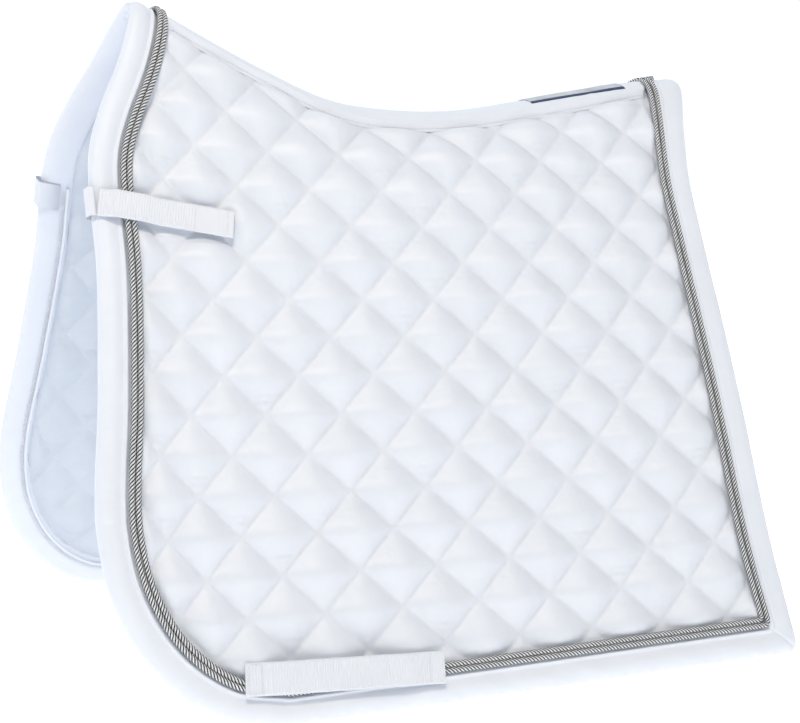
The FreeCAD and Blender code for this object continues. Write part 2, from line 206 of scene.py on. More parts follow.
def smooth_through(knots, spacing):
    """Catmull-Rom curve through knots; spacing gives the number of points of each run."""
    knots = np.array(knots, float)
    ends = [2 * knots[0] - knots[1], 2 * knots[-1] - knots[-2]]
    chain = np.vstack([ends[0], knots, ends[1]])
    points = []
    for i, count in enumerate(spacing):
        p0, p1, p2, p3 = chain[i:i + 4]
        d1, d2, d3 = (max(np.linalg.norm(b - a), 1e-6) ** 0.5
                      for a, b in ((p0, p1), (p1, p2), (p2, p3)))
        m1 = d2 * ((p1 - p0) / d1 - (p2 - p0) / (d1 + d2) + (p2 - p1) / d2)
        m2 = d2 * ((p2 - p1) / d2 - (p3 - p1) / (d2 + d3) + (p3 - p2) / d3)
        t = np.linspace(0, 1, count, endpoint=False)[:, None]
        points.append((2 * t ** 3 - 3 * t ** 2 + 1) * p1 + (t ** 3 - 2 * t ** 2 + t) * m1
                      + (3 * t ** 2 - 2 * t ** 3) * p2 + (t ** 3 - t ** 2) * m2)
    return np.vstack(points + [knots[-1:]])


def outline(distance):
    """Front, hem, corner and rear seen from the side; point i answers point i of any inset."""
    front = [TIP] + FRONT_EDGE
    for step in range(5):
        turn = math.radians(22.5 * step)
        front.append((CORNER_CENTRE[0] - CORNER_RADII[0] * math.cos(turn),
                      CORNER_CENTRE[1] - CORNER_RADII[1] * math.sin(turn)))
    above = (2 * TIP[0] - FRONT_EDGE[0][0], 2 * TIP[1] - FRONT_EDGE[0][1])
    counts = [max(4, round(math.dist(a, b) / RING)) for a, b in zip(front, front[1:])]
    rear = REAR_EDGE + [REAR_TIP]
    rear_counts = [30] + [max(4, round(math.dist(a, b) / RING)) for a, b in zip(rear, rear[1:])]
    front = inset_line(front, distance, above, REAR_CORNER)
    rear = inset_line(rear, distance * REAR_WIDER, REAR_CORNER,
                      (REAR_TIP[0] + 10.0, REAR_TIP[1] + 25.0))
    turn = HEM_TURN + (SEAM_TURN - HEM_TURN) * min(distance / BORDER, 1.2)
    corner = (REAR_CORNER[0] - distance * REAR_WIDER,
              REAR_CORNER[1] + distance * HEIGHT_SHARE)
    hem_end = (corner[0] - turn, corner[1])
    hem = np.linspace(front[-1], hem_end, 150, endpoint=False)[1:]
    angle = np.linspace(0, math.pi / 2, 9, endpoint=False)[:, None]
    arc = np.hstack([corner[0] - turn + turn * np.sin(angle),
                     corner[1] + turn - turn * np.cos(angle)])
    rear = smooth_through([(corner[0], corner[1] + turn)] + rear, rear_counts)
    return np.vstack([smooth_through(front, counts), hem, arc, rear])


class Edge:
    """Outer edge and border seam as places on the sheet, and the length along the edge."""
    outer = outline(0.0)
    inner = outline(BORDER)
    outer_down = down_at_height(*outer.T)
    inner_down = down_at_height(*inner.T)
    run = np.concatenate([[0.0], np.cumsum(np.hypot(np.diff(outer[:, 0]), np.diff(outer_down)))])


def border_place(index, inset):
    """x and down at a fractional index of the outline and an inset from the edge."""
    places = np.arange(len(Edge.outer))
    share = np.asarray(inset) / BORDER
    parts = []
    for a, b in ((Edge.outer[:, 0], Edge.inner[:, 0]), (Edge.outer_down, Edge.inner_down)):
        parts.append(np.interp(index, places, a) * (1 - share) + np.interp(index, places, b) * share)
    return parts


# ---- Mesh helpers ----
def make_mesh(name, verts, faces, uv=None, flip=False):
    mesh = bpy.data.meshes.new(name)
    faces = np.asarray(faces)
    if flip:
        faces = faces[:, ::-1]
    mesh.from_pydata(np.asarray(verts).tolist(), [], faces.tolist())
    if uv is not None:
        layer = mesh.uv_layers.new(name="UVMap")
        index = np.empty(len(mesh.loops), dtype=np.int32)
        mesh.loops.foreach_get("vertex_index", index)
        layer.data.foreach_set("uv", np.asarray(uv, np.float32)[index].ravel())
    mesh.polygons.foreach_set("use_smooth", np.full(len(mesh.polygons), True))
    mesh.update()
    piece = bpy.data.objects.new(name, mesh)
    bpy.context.collection.objects.link(piece)
    return piece


def grid_faces(rows, columns, close_rows=False, close_columns=False):
    """Quads of a grid of vertices numbered row by row."""
    i = np.arange(rows if close_rows else rows - 1)
    j = np.arange(columns if close_columns else columns - 1)
    i, j = np.meshgrid(i, j, indexing="ij")
    a = i * columns + j
    b = i * columns + (j + 1) % columns
    c = ((i + 1) % rows) * columns + (j + 1) % columns
    d = ((i + 1) % rows) * columns + j
    return np.stack([a, b, c, d], axis=-1).reshape(-1, 4)


def dress(piece, materials):
    for material in materials if isinstance(materials, (list, tuple)) else [materials]:
        piece.data.materials.append(material)
    return piece


def fold_blend(piece):
    """Bakes the piece's placement into its mesh; nothing is bent over the fold line here."""
    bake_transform(piece)


def smooth_noise(values, period, seed):
    """Smooth random wave along a length, about -1 to 1."""
    knots = np.random.RandomState(seed).uniform(-1, 1, 4096)
    t = np.asarray(values) / period + 1000.0
    i = np.floor(t).astype(int)
    f = t - i
    f = f * f * (3 - 2 * f)
    return knots[i % 4096] * (1 - f) + knots[(i + 1) % 4096] * f


def smooth_noise_2d(x, y, period_x, period_y, seed):
    """Smooth random waves over the sheet, about -1 to 1."""
    knots = np.random.RandomState(seed).uniform(-1, 1, (256, 256))
    u, v = x / period_x + 100.0, y / period_y + 100.0
    i, j = np.floor(u).astype(int), np.floor(v).astype(int)
    f, g = u - i, v - j
    f, g = f * f * (3 - 2 * f), g * g * (3 - 2 * g)
    i, j, k, l = i % 256, j % 256, (i + 1) % 256, (j + 1) % 256
    return ((knots[i, j] * (1 - f) + knots[k, j] * f) * (1 - g)
            + (knots[i, l] * (1 - f) + knots[k, l] * f) * g)


# ---- Materials ----
def new_material(name):
    material = bpy.data.materials.new(name)
    material.use_nodes = True
    tree = material.node_tree
    return material, tree, tree.nodes["Principled BSDF"]


def node(tree, kind, **settings):
    made = tree.nodes.new(kind)
    for key, value in settings.items():
        if key in made.inputs:
            made.inputs[key].default_value = value
        else:
            setattr(made, key, value)
    return made


def cloth_material(name, light, dark, roughness, sheen, weave, crinkle, specular=0.35,
                   anisotropic=0.0):
    """Woven cloth: tone drifts a little, fine threads both ways, and faint crinkles."""
    material, tree, shader = new_material(name)
    link = tree.links.new
    shader.inputs["Roughness"].default_value = roughness
    shader.inputs["Sheen Weight"].default_value = sheen
    shader.inputs["Sheen Roughness"].default_value = 0.35
    shader.inputs["Sheen Tint"].default_value = (0.93, 0.96, 1.0, 1.0)
    shader.inputs["Specular IOR Level"].default_value = specular
    if anisotropic:
        shader.inputs["Anisotropic"].default_value = anisotropic
        tangent = node(tree, "ShaderNodeTangent", direction_type="UV_MAP", uv_map="UVMap")
        link(tangent.outputs["Tangent"], shader.inputs["Tangent"])
    place = node(tree, "ShaderNodeUVMap", uv_map="UVMap")
    tone = node(tree, "ShaderNodeTexNoise", Scale=38.0, Detail=4.0, Roughness=0.6)
    ramp = node(tree, "ShaderNodeValToRGB")
    ramp.color_ramp.elements[0].color = (*dark, 1.0)
    ramp.color_ramp.elements[1].color = (*light, 1.0)
    ramp.color_ramp.elements[0].position = 0.3
    ramp.color_ramp.elements[1].position = 0.62
    link(place.outputs["UV"], tone.inputs["Vector"])
    link(tone.outputs["Fac"], ramp.inputs["Fac"])
    link(ramp.outputs["Color"], shader.inputs["Base Color"])
    threads = []
    for direction in ("X", "Y"):
        wave = node(tree, "ShaderNodeTexWave", Scale=weave, Distortion=0.6, Detail=1.0)
        wave.bands_direction = direction
        link(place.outputs["UV"], wave.inputs["Vector"])
        threads.append(wave)
    weave_mix = node(tree, "ShaderNodeMath", operation="MULTIPLY")
    link(threads[0].outputs["Fac"], weave_mix.inputs[0])
    link(threads[1].outputs["Fac"], weave_mix.inputs[1])
    stretch = node(tree, "ShaderNodeMapping")
    stretch.inputs["Scale"].default_value = (110.0, 330.0, 1.0)
    creases = node(tree, "ShaderNodeTexNoise", Scale=1.0, Detail=3.0, Roughness=0.55)
    link(place.outputs["UV"], stretch.inputs["Vector"])
    link(stretch.outputs["Vector"], creases.inputs["Vector"])
    fine = node(tree, "ShaderNodeBump", Strength=0.25, Distance=0.0002)
    coarse = node(tree, "ShaderNodeBump", Strength=crinkle, Distance=0.0009)
    link(weave_mix.outputs[0], fine.inputs["Height"])
    link(creases.outputs["Fac"], coarse.inputs["Height"])
    link(fine.outputs["Normal"], coarse.inputs["Normal"])
    link(coarse.outputs["Normal"], shader.inputs["Normal"])
    return material


def thread_material(name, colour, metallic, roughness, twist=2600.0):
    """Twisted thread, with the strands' own fine turns in the bump."""
    material, tree, shader = new_material(name)
    link = tree.links.new
    shader.inputs["Metallic"].default_value = metallic
    shader.inputs["Roughness"].default_value = roughness
    place = node(tree, "ShaderNodeTexCoord")
    tone = node(tree, "ShaderNodeTexNoise", Scale=900.0, Detail=2.0)
    ramp = node(tree, "ShaderNodeValToRGB")
    ramp.color_ramp.elements[0].color = (*[c * 0.72 for c in colour], 1.0)
    ramp.color_ramp.elements[1].color = (*colour, 1.0)
    ramp.color_ramp.elements[0].position = 0.25
    ramp.color_ramp.elements[1].position = 0.6
    wave = node(tree, "ShaderNodeTexWave", Scale=twist, Distortion=2.0)
    wave.bands_direction = "DIAGONAL"
    bump = node(tree, "ShaderNodeBump", Strength=0.35, Distance=0.0002)
    link(place.outputs["Object"], tone.inputs["Vector"])
    link(place.outputs["Object"], wave.inputs["Vector"])
    link(tone.outputs["Fac"], ramp.inputs["Fac"])
    link(ramp.outputs["Color"], shader.inputs["Base Color"])
    link(wave.outputs["Fac"], bump.inputs["Height"])
    link(bump.outputs["Normal"], shader.inputs["Normal"])
    return material


satin = cloth_material("satin", (0.79, 0.83, 0.915), (0.77, 0.81, 0.90), 0.36, 0.15, 1500.0, 0.07,
                       specular=1.0, anisotropic=0.85)
border_satin = cloth_material("border_satin", (0.80, 0.84, 0.925), (0.78, 0.82, 0.91), 0.42, 0.15,
                              1500.0, 0.08, specular=0.7, anisotropic=0.4)
# Lining: its own bluish-grey tone, made darker and bluer still as painted shade for the shaded inner
# side of the flaps.
lining_painted_shade = cloth_material("lining_painted_shade", (0.66, 0.71, 0.79), (0.62, 0.675, 0.76), 0.6, 0.3,
                              1300.0, 0.15, specular=0.25)
binding_cloth = cloth_material("binding_cloth", (0.80, 0.84, 0.92), (0.78, 0.82, 0.905), 0.5, 0.2,
                               1100.0, 0.1)
webbing_cloth = cloth_material("webbing_cloth", (0.79, 0.82, 0.895), (0.77, 0.80, 0.88), 0.55, 0.2,
                               1700.0, 0.04)
label_cloth = cloth_material("label_cloth", (0.035, 0.06, 0.14), (0.025, 0.045, 0.11), 0.55, 0.1,
                             1500.0, 0.05)
label_field = cloth_material("label_field", (0.62, 0.65, 0.70), (0.40, 0.43, 0.50), 0.45, 0.1,
                             900.0, 0.4)
white_thread = thread_material("white_thread", (0.88, 0.89, 0.92), 0.0, 0.5)
silver_thread = thread_material("silver_thread", (0.92, 0.945, 0.985), 0.0, 0.34)
# Near-black strands between the silver ones: partly the cord's own dark thread, partly painted shade in
# the grooves.
dark_thread_groove_shade = thread_material("dark_thread_groove_shade", (0.02, 0.02, 0.023), 0.1, 0.45)
fastener = cloth_material("fastener", (0.84, 0.85, 0.87), (0.76, 0.77, 0.79), 0.9, 0.5, 700.0, 0.6,
                          specular=0.1)


# ---- Quilting: a sample of diamonds as cloth under pressure, then laid over the whole pad ----
def quilt_place(p, q):
    """x and down of a point of the lattice; the stitch lines are whole p and whole q."""
    m, n = p - q, p + q
    x = QUILT_X + HALF_WIDE * m
    down = QUILT_DOWN + HALF_TALL * n + 0.543 * m
    ease = np.exp(-(np.maximum(x, -350.0) + 320.0) / EASE_LENGTH)
    return (x + FRONT_EASE_X * ease,
            down - FRONT_EASE_DOWN * ease * np.clip(1 - down / 340.0, 0.0, 2.0))


def plain_pillows():
    a = (np.arange(TILE * CELL) % CELL) / CELL
    bulge = np.sin(math.pi * a) ** 0.75
    height = bulge[:, None] * bulge[None, :]
    crest = np.abs(a[:, None] + a[None, :] - 1.0)
    height = height * (1.0 - 0.4 * np.sqrt(crest ** 2 + 0.004))
    return np.zeros(height.shape), np.zeros(height.shape), height


def simulated_pillows():
    """Cloth cut larger than the stitched pattern, most of all down the pad, so that it puckers."""
    count = TILE * CELL + 1
    scale = 0.01                        # simulated a hundred times as large as a millimetre mesh
    p, q = np.meshgrid(np.arange(count) / CELL, np.arange(count) / CELL, indexing="ij")
    x, y = HALF_WIDE * (p - q), HALF_TALL * (p + q)
    noise = RANDOM.uniform(-0.25, 0.25, (count, count))
    flat = np.stack([x, -y, noise + 0.3], axis=-1).reshape(-1, 3) * scale
    piece = make_mesh("quilt_sample", flat, grid_faces(count, count))
    if piece.data.polygons[0].normal.z < 0:
        piece.data.flip_normals()
    i, j = np.meshgrid(np.arange(count), np.arange(count), indexing="ij")
    on_p, on_q = i % CELL == 0, j % CELL == 0
    pinned = (on_p & on_q) | (on_p & (j % 2 == 0)) | (on_q & (i % 2 == 0))
    group = piece.vertex_groups.new(name="stitched")
    group.add(np.flatnonzero(pinned.ravel()).tolist(), 1.0, "REPLACE")
    flat[pinned.ravel(), 2] = 0.0
    piece.data.vertices.foreach_set("co", flat.astype(np.float32).ravel())
    piece.shape_key_add(name="Basis")
    cut = piece.shape_key_add(name="cut")
    cut.data.foreach_set("co", (flat * (1.01, 1.10, 1.0)).astype(np.float32).ravel())
    cut.value = 0.0
    cloth = piece.modifiers.new("Cloth", "CLOTH")
    settings = cloth.settings
    settings.vertex_group_mass = "stitched"
    settings.rest_shape_key = cut
    settings.quality = 8
    settings.mass = 0.25
    settings.tension_stiffness = settings.compression_stiffness = 24.0
    settings.shear_stiffness = 6.0
    settings.bending_stiffness = 0.12
    settings.air_damping = 2.0
    settings.use_pressure = True
    settings.uniform_pressure_force = 5.0
    settings.effector_weights.gravity = 0.0
    cloth.collision_settings.use_collision = False
    cloth.point_cache.frame_end = SIM_FRAMES
    scene = bpy.context.scene
    for step in range(1, SIM_FRAMES + 1):
        scene.frame_set(step)
    result = piece.evaluated_get(bpy.context.evaluated_depsgraph_get()).to_mesh()
    moved = np.empty(len(result.vertices) * 3, dtype=np.float32)
    result.vertices.foreach_get("co", moved)
    scene.frame_set(1)
    bpy.data.objects.remove(piece, do_unlink=True)
    change = ((moved.reshape(-1, 3) - flat) / scale).reshape(count, count, 3)
    change[..., 2] += flat.reshape(count, count, 3)[..., 2] / scale
    change[0] = change[-1] = (change[0] + change[-1]) / 2
    change[:, 0] = change[:, -1] = (change[:, 0] + change[:, -1]) / 2
    change = change[:-1, :-1]
    print("pillows", change[..., 2].min(), change[..., 2].max(), np.abs(change[..., :2]).max())
    limit = np.clip(change[..., 2], -1.0, None)
    height = SIMULATED_SHARE * limit / np.percentile(limit, 99.0)
    height = height + (1 - SIMULATED_SHARE) * plain_pillows()[2]
    return change[..., 0] * 0.6, -change[..., 1] * 0.6, height


shift_x, shift_down, pillow = simulated_pillows()


def pressed(x, down):
    """1 where a strap lies on the quilting and flattens it, else 0."""
    along, across = x - STRAP_EDGE_X, down - (STRAP_DOWN + STRAP_SLOPE * (x - STRAP_EDGE_X))
    inside = np.clip((STRAP_LENGTH + 6 - along) / 8, 0, 1) * np.clip((18 - np.abs(across)) / 6, 0, 1)
    return inside * (along > 0)


def corner_creases(i, j):
    """Creases across the lower and upper corners of the diamonds, where the cover is slack."""
    a, b = (i % CELL) / CELL, (j % CELL) / CELL
    height, width = a + b - 1.0, a - b
    strength = np.random.RandomState(8).uniform(-0.25, 1.0, (2, 64, 64)).clip(0.0)
    phase = np.random.RandomState(9).uniform(-0.9, 0.9, (64, 64))
    cell = ((i // CELL) % 64, (j // CELL) % 64)
    room = np.clip(1.0 - np.abs(height), 0.02, 1.0)
    across = np.clip(1.0 - (width / room) ** 2, 0.0, 1.0)
    creases = 0.0
    for end, depth in ((1, 1.0), (-1, 0.55)):
        spread = np.exp(-((end * height - 0.6) / 0.2) ** 2)
        wave = np.sin(math.tau * (height * HALF_TALL / 5.2 + 0.6 * width ** 2) + phase[cell])
        creases = creases + depth * strength[(end + 1) // 2][cell] * spread * across * wave
    return creases


def gathers(near_seam, seam_run, seed):
    """Fine puckers where the quilted cloth is drawn in along the border seam."""
    fade = np.exp(-near_seam / 9.0)
    wave = smooth_noise(seam_run, 4.3, seed) + 0.6 * smooth_noise(seam_run, 2.7, seed + 1)
    return 0.55 * fade * wave


def seam_distance(x, down):
    """Distance from the seam under the cords, and the length along it of its nearest point."""
    seam = np.stack([Edge.inner[:, 0], Edge.inner_down], axis=1)
    nearest = np.full(x.shape, 1e9)
    place = np.zeros(x.shape)
    runs = np.concatenate([[0.0], np.cumsum(np.linalg.norm(np.diff(seam, axis=0), axis=1))])
    for a, b, run in zip(seam[:-1], seam[1:], runs[:-1]):
        step = b - a
        t = np.clip(((x - a[0]) * step[0] + (down - a[1]) * step[1]) / (step @ step), 0, 1)
        distance = np.hypot(x - a[0] - t * step[0], down - a[1] - t * step[1])
        closer = distance < nearest
        nearest = np.where(closer, distance, nearest)
        place = np.where(closer, run + t * np.hypot(*step), place)
    return nearest, place


def inside_outline(x, down, inset):
    """Which places lie inside the outline moved inwards."""
    edge_x, edge_down = border_place(np.arange(0, len(Edge.outer), 2), inset)
    edge_x = np.concatenate([edge_x, [edge_x[-1], edge_x[0]]])
    edge_down = np.concatenate([edge_down, [-400.0, -400.0]])
    inside = np.zeros(x.shape, bool)
    for x0, d0, x1, d1 in zip(edge_x, edge_down, np.roll(edge_x, -1), np.roll(edge_down, -1)):
        if d0 == d1:
            continue
        crosses = ((d0 > down) != (d1 > down)) & (x < (x1 - x0) * (down - d0) / (d1 - d0) + x0)
        inside ^= crosses
    return inside


def used_only(faces, *arrays):
    """Faces renumbered to the vertices that they use, and those vertices' rows."""
    used, renumbered = np.unique(faces, return_inverse=True)
    return renumbered.reshape(np.asarray(faces).shape), [a[used] for a in arrays]


def quilted_panel(name, side):
    """One half of the pad inside the border, from the ridge to the hem: cover and lining."""
    p_cells, q_cells = (-6, 15), (-13, 8)
    p_index = np.arange(p_cells[0] * CELL, p_cells[1] * CELL + 1)
    q_index = np.arange(q_cells[0] * CELL, q_cells[1] * CELL + 1)
    i, j = np.meshgrid(p_index, q_index, indexing="ij")
    x, down = quilt_place(i / CELL, j / CELL)
    faces = grid_faces(len(p_index), len(q_index))
    edge = -ridge_length(x)
    keep = inside_outline(x, down, BORDER - 2.5) & (down > edge + 1.5)
    faces = faces[keep.ravel()[faces].all(axis=1)]
    faces, (x, down, i, j) = used_only(faces, x.ravel(), down.ravel(), i.ravel(), j.ravel())
    near_seam, seam_run = seam_distance(x, down)
    beyond_tape = down + ridge_length(x) - binding_reach(x)
    cell_size = 0.88 + 0.24 * np.random.RandomState(5).rand(64, 64)
    fullness = cell_size[(i // CELL) % 64, (j // CELL) % 64]
    size = len(pillow)
    skins = []
    for outward, crown, lag in ((1, CROWN, 0), (-1, LINING_CROWN, CELL)):
        a, b = (i + lag) % size, (j + 2 * lag) % size
        lift = pillow[a, b] * fullness * crown
        lift = lift + gathers(near_seam, seam_run, 3 + lag) + corner_creases(i + lag, j + 2 * lag)
        lift = lift + 0.5 * np.exp(-np.abs(beyond_tape) / 8) * smooth_noise(x, 3.6, 9 + lag)
        lift = lift + 0.35 * smooth_noise_2d(x, down, 90.0, 70.0, 21)
        near_edge = np.clip(near_seam / 9.0, 0, 1)
        under_tape = np.clip((beyond_tape + 3.0) / 11.0, 0, 1)
        lift = SEAM_OFFSET + np.clip(lift, -0.4, None) * (0.35 + 0.65 * near_edge)
        lift = lift * (0.12 + 0.88 * under_tape ** 0.7)
        if outward > 0:
            lift = lift * (1 - 0.55 * pressed(x, down))
        skins.append(sheet_points(side, x + shift_x[a, b] * 0.8, down + shift_down[a, b] * 0.8,
                                  outward * lift))
    count = len(x)
    edges = np.vstack([faces[:, [k, (k + 1) % 4]] for k in range(4)])
    codes = edges[:, 0].astype(np.int64) * count + edges[:, 1]
    reverse = edges[:, 1].astype(np.int64) * count + edges[:, 0]
    rim = edges[~np.isin(codes, reverse)]
    walls = np.stack([rim[:, 1], rim[:, 0], rim[:, 0] + count, rim[:, 1] + count], axis=1)
    all_faces = np.vstack([faces, faces[:, ::-1] + count, walls])
    uv = np.tile(np.stack([x, down], axis=1) * M, (2, 1))
    piece = make_mesh(name + "_quilting", np.vstack(skins), all_faces, uv, flip=side > 0)
    dress(piece, [satin, lining_painted_shade])
    index = np.zeros(len(all_faces), dtype=np.int32)
    index[len(faces):] = 1
    piece.data.polygons.foreach_set("material_index", index)
    fold_blend(piece)
    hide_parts(*(name + "_" + part for part in (
        "flap_cover", "flap_wadding", "flap_lining", "ridge_cover", "ridge_wadding",
        "ridge_lining")))


# ---- Stitches ----
def run_along(points):
    """Length in millimetres up to each of a line of points."""
    steps = np.linalg.norm(np.diff(points, axis=0), axis=1)
    return np.concatenate([[0.0], np.cumsum(steps)]) / M


def unit(vectors):
    return vectors / np.linalg.norm(vectors, axis=1, keepdims=True)


def stitch_mesh(name, starts, ends, out, radius, material):
    """A row of stitches, each a small spindle lying on the cloth."""
    starts, ends, out = (np.asarray(a, float) for a in (starts, ends, out))
    along = ends - starts
    across = unit(np.cross(out, along))
    verts = []
    ring = [(0.0, 0.35), (0.3, 1.0), (0.7, 1.0), (1.0, 0.35)]
    for share, width in ring:
        middle = starts + along * share
        for turn in range(5):
            angle = math.tau * turn / 5
            verts.append(middle + radius * width * (math.cos(angle) * across + math.sin(angle) * out))
    verts = np.stack(verts, axis=1).reshape(-1, 3)
    quads = grid_faces(4, 5, close_columns=True)
    faces = (quads[None] + (np.arange(len(starts)) * 20)[:, None, None]).reshape(-1, 4)
    return dress(make_mesh(name, verts, faces), material)


def seam_stitches(name, side, x, down, offset, pitch, share, radius, material):
    """Stitches along a line of places on the sheet."""
    line = sheet_points(side, x, down, offset)
    run = run_along(line)
    marks = np.arange(0.5, run[-1] - pitch * share, pitch)
    outer = sheet_points(side, x, down, np.asarray(offset) + 1.0)
    at = lambda places, points: np.stack([np.interp(places, run, points[:, k]) for k in range(3)], 1)
    starts, ends = at(marks, line), at(marks + pitch * share, line)
    out = unit(at(marks, outer) - starts)
    return stitch_mesh(name, starts, ends, out, radius * M, material)


def quilt_stitches(name, side):
    """The stitches of the quilting, outside and inside."""
    starts, ends, outs = [], [], []
    per_cell, share = 11, 0.14          # stitches along a diamond; bare end of each
    steps = np.arange(-13 * per_cell, 15 * per_cell) / per_cell
    for line in range(-13, 15):
        for along_p in (True, False):
            p, q = (steps, np.full(steps.shape, float(line)))
            if not along_p:
                p, q = q, p
            x, down = quilt_place(p, q)
            mid_x, mid_down = (x[1:] + x[:-1]) / 2, (down[1:] + down[:-1]) / 2
            inside = inside_outline(mid_x, mid_down, BORDER + 5.0)
            inside &= mid_down > -ridge_length(mid_x) + binding_reach(mid_x) + 1.0
            inside &= pressed(mid_x, mid_down) < 0.1
            kept = np.flatnonzero(inside)
            if not len(kept):
                continue
            xa = x[kept] * (1 - share) + x[kept + 1] * share
            xb = x[kept] * share + x[kept + 1] * (1 - share)
            da = down[kept] * (1 - share) + down[kept + 1] * share
            db = down[kept] * share + down[kept + 1] * (1 - share)
            for face in (1, -1):
                offset = face * (SEAM_OFFSET + 0.05)
                start = sheet_points(side, xa, da, offset)
                starts.append(start)
                ends.append(sheet_points(side, xb, db, offset))
                outs.append(unit(sheet_points(side, xa, da, offset + face) - start))
    piece = stitch_mesh(name + "_quilt_stitches", np.vstack(starts), np.vstack(ends),
                        np.vstack(outs), 0.26 * M, white_thread)
    fold_blend(piece)


# ---- Border ----
JOIN_TOP, JOIN_BOTTOM = -258.0, -276.0  # heights of the two seams of the bias join
BORDER_SECTION = [                      # inset and height, for a border 29.5 wide
    (30.5, 1.2), (28.0, 2.2), (25.6, 3.4), (24.0, 4.3), (23.2, 5.3), (22.4, 6.0), (21.5, 6.2),
    (20.6, 5.7), (20.0, 5.0), (19.2, 4.7), (17.6, 5.1), (15.2, 5.7), (12.4, 6.0), (9.6, 6.0),
    (7.0, 5.6), (4.8, 4.9), (3.0, 4.0), (1.6, 2.8), (0.6, 1.5), (0.1, 0.2), (0.2, -1.2),
    (0.9, -2.5), (2.2, -3.6), (4.2, -4.5), (7.2, -5.1), (11.0, -5.4), (15.0, -5.4), (19.0, -5.1),
    (22.5, -4.7), (25.0, -4.2), (27.0, -3.4), (28.6, -2.4), (29.6, -1.2)]


def border_waves(run, inset, outward, side):
    """Soft facets and eased fullness of the satin along the border."""
    slant = run + (0.9 if outward > 0 else -0.7) * inset
    waves = 0.75 * smooth_noise(slant, 34.0, 31 + side) + 0.35 * smooth_noise(slant, 15.0, 41 + side)
    waves += 0.22 * smooth_noise(run - 0.6 * inset, 7.0, 51 + side)
    middle = np.sin(np.clip(inset / 20.0, 0, 1) * math.pi)
    puckers = 0.25 * smooth_noise(run, 3.0, 61 + side) * np.exp(-np.abs(inset - 20.0) / 3.0)
    return waves * (0.25 + 0.75 * middle) + puckers


def padded_border(name, side):
    """Foam roll covered in satin all round the edge, with its joins and mitre."""
    count = len(Edge.outer)
    index = np.arange(count, dtype=float)
    run = Edge.run
    inset = np.array([s[0] for s in BORDER_SECTION]) * BORDER / 29.5
    height = np.array([s[1] for s in BORDER_SECTION])
    grid_run, grid_inset = np.broadcast_arrays(run[:, None], inset[None, :])
    outward = np.where(height > 0, 1, -1)[None, :]
    x, down = border_place(index[:, None] + 0 * grid_inset, grid_inset)
    lift = height[None, :] + np.where(outward > 0, border_waves(grid_run, grid_inset, 1, side),
                                      -border_waves(grid_run, grid_inset, -1, side))
    joined = np.zeros(count)
    for place in join_places():
        joined = np.maximum(joined, np.exp(-((run - place) / 1.1) ** 2))
    patch = np.clip((run - join_places()[0]) / 2, 0, 1) * np.clip((join_places()[1] - run) / 2, 0, 1)
    thickness = 1 - 0.22 * joined[:, None] + 0.05 * patch[:, None]
    lift = lift * thickness
    fade = np.clip(grid_run / 12.0, 0, 1) * np.clip((run[-1] - grid_run) / 12.0, 0, 1)
    lift = height[None, :] + (lift - height[None, :]) * fade
    ease = pressed(x, down) * (np.asarray(outward) > 0)
    lift = lift - ease * np.clip(lift - 5.4, 0, None)
    points = sheet_points(side, x, down, lift)
    columns = len(BORDER_SECTION)
    faces = grid_faces(count, columns, close_columns=True)
    uv = np.stack([grid_run, grid_inset], axis=-1).reshape(-1, 2) * M
    piece = make_mesh(name + "_border", points.reshape(-1, 3), faces, uv, flip=side < 0)
    close_ends(piece, count, columns)
    smooth = piece.modifiers.new("Round", "SUBSURF")
    smooth.levels = smooth.render_levels = 1
    apply_modifiers(piece)
    dress(piece, border_satin)
    fold_blend(piece)
    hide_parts(*(name + "_" + part for part in (
        "front_border", "bottom_border", "rear_border", "border_foam", "withers_border",
        "croup_border")))


def join_places():
    """Lengths along the edge of the two seams of the bias join, and of the mitre."""
    z = Edge.outer[:, 1]
    front = [float(np.interp(-level, -z[:len(z) // 2], Edge.run[:len(z) // 2]))
             for level in (JOIN_TOP, JOIN_BOTTOM)]
    corner = int(np.argmax(Edge.outer[:, 0] - Edge.outer[:, 1]))
    return front + [float(Edge.run[corner])]


def close_ends(piece, rows, columns):
    """Faces over the first and last ring of a tube."""
    mesh = bmesh.new()
    mesh.from_mesh(piece.data)
    mesh.verts.ensure_lookup_table()
    for start in (0, (rows - 1) * columns):
        mesh.faces.new([mesh.verts[start + k] for k in range(columns)])
    bmesh.ops.recalc_face_normals(mesh, faces=mesh.faces)
    mesh.to_mesh(piece.data)
    mesh.free()


def apply_modifiers(piece):
    """The piece's own mesh becomes what its modifiers make of it."""
    depsgraph = bpy.context.evaluated_depsgraph_get()
    mesh = bpy.data.meshes.new_from_object(piece.evaluated_get(depsgraph))
    piece.modifiers.clear()
    piece.data = mesh


def closed_strip(name, top, bottom, u, v, flip=False):
    """Closed body between two grids of points; u and v are its UV in millimetres."""
    rows, columns = top.shape[:2]
    ring = np.concatenate([top, bottom[:, ::-1]], axis=1)
    faces = grid_faces(rows, 2 * columns, close_columns=True)
    uv = np.stack([np.concatenate([grid, grid[:, ::-1]], axis=1)
                   for grid in np.broadcast_arrays(u, v)], axis=-1).reshape(-1, 2) * M
    piece = make_mesh(name, ring.reshape(-1, 3), faces, uv, flip=flip)
    close_ends(piece, rows, 2 * columns)
    return piece, faces, uv


# ---- Trim cords ----
CORD_RADIUS, CORD_PITCH, CORD_OFFSET = 2.25, 4.6, 7.7
LAY = 12.0                              # length of one turn of the strands
STRANDS = 4


def tube_along(centres, radius, sides, firsts):
    """Rings round a line; firsts is a direction across the line at each centre."""
    tangents = unit(np.gradient(centres, axis=0))
    firsts = unit(firsts - (firsts * tangents).sum(1, keepdims=True) * tangents)
    seconds = np.cross(tangents, firsts)
    angles = np.arange(sides) * math.tau / sides
    rings = (centres[:, None] + radius * (np.cos(angles)[None, :, None] * firsts[:, None]
                                          + np.sin(angles)[None, :, None] * seconds[:, None]))
    return rings.reshape(-1, 3)


